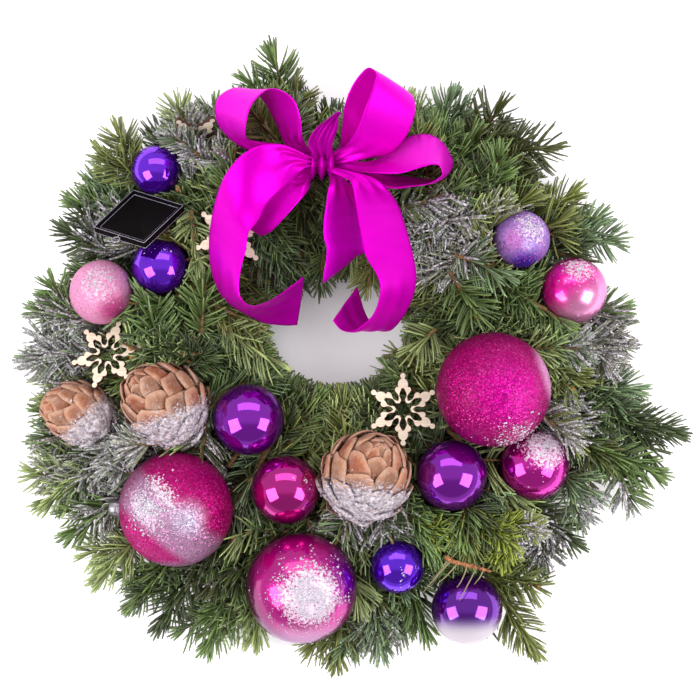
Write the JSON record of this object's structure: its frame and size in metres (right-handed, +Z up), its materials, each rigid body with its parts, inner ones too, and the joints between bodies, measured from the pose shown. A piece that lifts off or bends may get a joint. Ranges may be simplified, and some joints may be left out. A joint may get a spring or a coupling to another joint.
{
  "type": "evergreen wreath",
  "caption": "Door wreath of bound fir sprigs on a straw ring, set with baubles, pine cones, wooden snowflakes, a bare tag and a satin ribbon bow.",
  "frame": {"origin": "middle of the outline, on the surface that the wreath lies on", "axes": "+Z up out of the face, +Y towards the bow, +X to the right as the face is looked at"},
  "size_m": [0.465, 0.4528, 0.1274],
  "materials": {
    "straw": "bound straw",
    "florist_wire": "green lacquered wire",
    "fir": "waxy needles, some with artificial snow",
    "gloss_violet": "mirror lacquer",
    "gloss_purple": "pearl lacquer",
    "gloss_magenta": "mirror lacquer",
    "satin_magenta": "pearl lacquer with snow",
    "glitter_fuchsia": "fine glitter",
    "frosted_pink": "sugar frost",
    "frosted_lilac": "sugar frost",
    "cap_silver": "stamped sheet",
    "cone_scales": "dry, with snow",
    "birch_plywood": "laser cut, burnt edges",
    "black_lacquer": "semi-gloss",
    "ribbon_satin": "satin"
  },
  "bodies": {
    "root": {"straw_ring": "straw", "binding_wire": "florist_wire", "fir_bunch_1": "fir", "fir_bunch_2": "fir", "fir_bunch_3": "fir", "fir_bunch_4": "fir", "fir_bunch_5": "fir", "fir_bunch_6": "fir", "fir_bunch_7": "fir", "fir_bunch_8": "fir", "fir_bunch_9": "fir", "fir_bunch_10": "fir", "fir_bunch_11": "fir", "fir_bunch_12": "fir", "violet_bauble_top": "gloss_violet", "violet_bauble_top_cap": "cap_silver", "violet_bauble_left": "gloss_violet", "violet_bauble_left_cap": "cap_silver", "pink_frosted_bauble_left": "frosted_pink", "pink_frosted_bauble_left_cap": "cap_silver", "purple_bauble_left": "gloss_purple", "purple_bauble_left_cap": "cap_silver", "magenta_bauble_small": "gloss_magenta", "magenta_bauble_small_cap": "cap_silver", "glitter_bauble_banded": "glitter_fuchsia", "glitter_bauble_banded_cap": "cap_silver", "magenta_bauble_snowy": "satin_magenta", "magenta_bauble_snowy_cap": "cap_silver", "glitter_bauble_large": "glitter_fuchsia", "glitter_bauble_large_cap": "cap_silver", "purple_bauble_right": "gloss_purple", "purple_bauble_right_cap": "cap_silver", "magenta_bauble_right": "gloss_magenta", "magenta_bauble_right_cap": "cap_silver", "violet_bauble_bottom": "gloss_violet", "violet_bauble_bottom_cap": "cap_silver", "purple_white_bauble": "gloss_purple", "purple_white_bauble_cap": "cap_silver", "lilac_frosted_bauble": "frosted_lilac", "lilac_frosted_bauble_cap": "cap_silver", "pink_frosted_bauble_right": "frosted_pink", "pink_frosted_bauble_right_cap": "cap_silver", "pine_cone_left": "cone_scales", "pine_cone_middle": "cone_scales", "pine_cone_centre": "cone_scales", "snowflake_centre": "birch_plywood", "snowflake_left": "birch_plywood", "snowflake_top": "birch_plywood", "snowflake_under_bow": "birch_plywood", "black_tag": "black_lacquer", "tag_eyelet": "cap_silver", "bow_knot": "ribbon_satin", "bow_short_end": "ribbon_satin", "bow_left_loop": "ribbon_satin", "bow_left_under_loop": "ribbon_satin", "bow_left_tail": "ribbon_satin", "bow_right_loop": "ribbon_satin", "bow_right_small_loop": "ribbon_satin", "bow_centre_tail": "ribbon_satin", "bow_right_tail": "ribbon_satin"}
  },
  "joints": []
}
